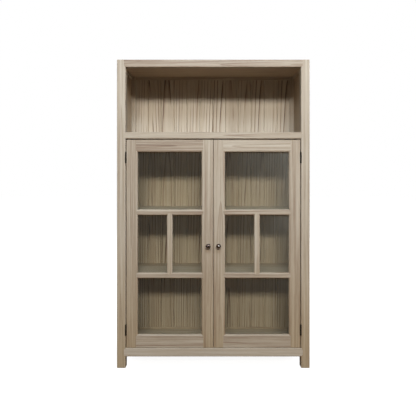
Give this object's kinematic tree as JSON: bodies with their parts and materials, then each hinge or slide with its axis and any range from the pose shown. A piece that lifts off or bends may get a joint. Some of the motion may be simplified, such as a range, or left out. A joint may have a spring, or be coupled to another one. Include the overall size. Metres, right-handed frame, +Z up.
{
  "type": "display cabinet",
  "caption": "Free-standing display cabinet in pale bleached elm, with an open upper compartment over a shelved cupboard behind a pair of glazed doors with dark ball knobs.",
  "frame": {"origin": "on the floor, under the middle of the bounding box with the knobs", "axes": "+Z up, the doors face -Y, +X is to the right of someone facing the doors"},
  "size_m": [1, 0.434, 1.6],
  "materials": {
    "elm_frame": "bleached and waxed, open grain",
    "elm_panels": "bleached and waxed, open grain",
    "glass": "clear float glass with a slight green tint",
    "knob_bronze": "dark antique bronze, polished by hands",
    "hinge_iron": "dark waxed iron",
    "catch_steel": "plain plated steel"
  },
  "bodies": {
    "carcass": {"back_boards": "elm_panels", "bottom_panel": "elm_panels", "bottom_rail_back": "elm_frame", "bottom_rail_front": "elm_frame", "bottom_rail_left": "elm_frame", "bottom_rail_right": "elm_frame", "catch_magnets": "catch_steel", "deck_panel": "elm_panels", "door_stop": "elm_frame", "hinge_frame_leaves": "hinge_iron", "hinge_frame_screws": "hinge_iron", "hinge_pins": "hinge_iron", "mid_rail_front": "elm_frame", "mid_rail_left": "elm_frame", "mid_rail_right": "elm_frame", "post_back_left": "elm_frame", "post_back_right": "elm_frame", "post_front_left": "elm_frame", "post_front_right": "elm_frame", "shelf_bearers": "elm_frame", "shelf_lower": "elm_panels", "shelf_upper": "elm_panels", "side_panel_lower_left": "elm_panels", "side_panel_lower_right": "elm_panels", "side_panel_upper_left": "elm_panels", "side_panel_upper_right": "elm_panels", "top_panel": "elm_panels", "top_rail_back": "elm_frame", "top_rail_front": "elm_frame", "top_rail_left": "elm_frame", "top_rail_right": "elm_frame"},
    "left_door": {"door_left_bar_lower": "elm_frame", "door_left_bar_upper": "elm_frame", "door_left_glass": "glass", "door_left_glazing_beads": "elm_frame", "door_left_hinge_leaves": "hinge_iron", "door_left_hinge_screws": "hinge_iron", "door_left_knob": "knob_bronze", "door_left_knob_screw": "catch_steel", "door_left_muntin": "elm_frame", "door_left_rail_bottom": "elm_frame", "door_left_rail_top": "elm_frame", "door_left_stile_hinge": "elm_frame", "door_left_stile_meeting": "elm_frame", "door_left_strike_plate": "catch_steel"},
    "right_door": {"door_right_bar_lower": "elm_frame", "door_right_bar_upper": "elm_frame", "door_right_glass": "glass", "door_right_glazing_beads": "elm_frame", "door_right_hinge_leaves": "hinge_iron", "door_right_hinge_screws": "hinge_iron", "door_right_knob": "knob_bronze", "door_right_knob_screw": "catch_steel", "door_right_muntin": "elm_frame", "door_right_rail_bottom": "elm_frame", "door_right_rail_top": "elm_frame", "door_right_stile_hinge": "elm_frame", "door_right_stile_meeting": "elm_frame", "door_right_strike_plate": "catch_steel"}
  },
  "joints": [
    {"name": "left_door_hinge", "type": "hinge", "parent": "carcass", "child": "left_door", "pos_m": [-0.4535, -0.185, 0.64], "axis": [0, 0, -1], "range_deg": [0, 165]},
    {"name": "right_door_hinge", "type": "hinge", "parent": "carcass", "child": "right_door", "pos_m": [0.4535, -0.185, 0.64], "axis": [0, 0, 1], "range_deg": [0, 165]}
  ]
}
